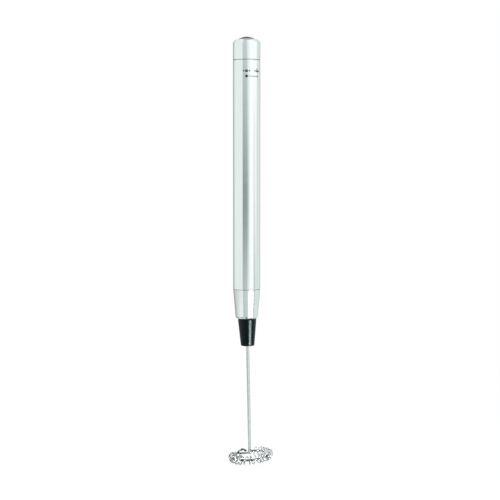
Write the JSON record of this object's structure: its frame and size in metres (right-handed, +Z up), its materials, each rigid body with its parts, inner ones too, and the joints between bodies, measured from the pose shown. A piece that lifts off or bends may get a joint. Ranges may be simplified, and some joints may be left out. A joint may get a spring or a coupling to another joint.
{
  "type": "handheld milk frother",
  "caption": "Slim battery-powered milk frother: steel tube with a twist-off cap and push button, tapered nose, black collet and a coil whisk on a thin shaft.",
  "frame": {"origin": "on the motor's spin axis, at the middle of the barrel, which is the grip mount's centre", "axes": "+Z up the spin axis towards the push button; -Y towards the side with the printed open and closed marks"},
  "size_m": [0.0285, 0.0277, 0.2665],
  "materials": {
    "steel_shell": "satin, brushed along the axis",
    "button_gloss": "glossy",
    "gasket_rubber": "matte",
    "collet_black": "satin",
    "whisk_steel": "polished wire",
    "fixing_steel": "plain",
    "spring_steel": "drawn wire",
    "switch_black": "moulded",
    "moulding_ivory": "moulded",
    "contact_brass": "bright",
    "bearing_bronze": "sintered",
    "cell_jacket": "printed film over a metal can",
    "motor_steel": "plated",
    "magnet_ferrite": "matte",
    "copper": "enamelled wire and copper",
    "lamination_steel": "stacked sheets",
    "lead_insulation": "soft"
  },
  "bodies": {
    "barrel": {"barrel_tube": "steel_shell", "nose_cone": "steel_shell", "cap_gasket": "gasket_rubber", "nose_gasket": "gasket_rubber", "battery_liner": "moulding_ivory", "battery_upper": "cell_jacket", "battery_lower": "cell_jacket", "lower_contact": "contact_brass", "battery_stop": "moulding_ivory", "earth_tag": "contact_brass", "lead_wires": "lead_insulation", "motor_terminals": "contact_brass", "motor_end_bell": "moulding_ivory", "motor_brushes": "copper", "motor_can": "motor_steel", "motor_magnets": "magnet_ferrite", "motor_rear_bush": "bearing_bronze", "motor_front_bush": "bearing_bronze", "motor_screws": "fixing_steel", "motor_seat": "moulding_ivory", "nose_bush": "bearing_bronze", "shaft_seal": "gasket_rubber"},
    "switch_unit": {"switch_collar": "switch_black", "switch_base": "moulding_ivory", "centre_contact": "contact_brass", "ring_contact": "contact_brass", "battery_spring": "spring_steel", "button_spring": "spring_steel"},
    "cap": {"cap_shell": "steel_shell", "bayonet_lugs": "fixing_steel", "retaining_ring": "fixing_steel"},
    "button": {"push_button": "button_gloss", "bridge_contact": "contact_brass"},
    "spindle": {"motor_shaft": "fixing_steel", "armature_core": "lamination_steel", "armature_windings": "copper", "commutator": "copper", "drive_collet": "collet_black", "whisk_shaft": "whisk_steel", "whisk_ring": "whisk_steel", "whisk_coil": "whisk_steel"}
  },
  "joints": [
    {"name": "cap_lift", "type": "slide", "parent": "barrel", "child": "switch_unit", "axis": [0, 0, 1], "range_m": [0, 0.025]},
    {"name": "cap_twist", "type": "hinge", "parent": "switch_unit", "child": "cap", "pos_m": [0, 0, 0.077], "axis": [0, 0, 1], "range_deg": [-50, 0]},
    {"name": "button_press", "type": "slide", "parent": "switch_unit", "child": "button", "axis": [0, 0, -1], "range_m": [0, 0.0012], "stiffness_N_per_m": 800, "springref_m": -0.001, "deforming": ["button_spring"]},
    {"name": "spindle_spin", "type": "hinge", "parent": "barrel", "child": "spindle", "pos_m": [0, 0, -0.09], "axis": [0, 0, 1], "continuous": true}
  ]
}
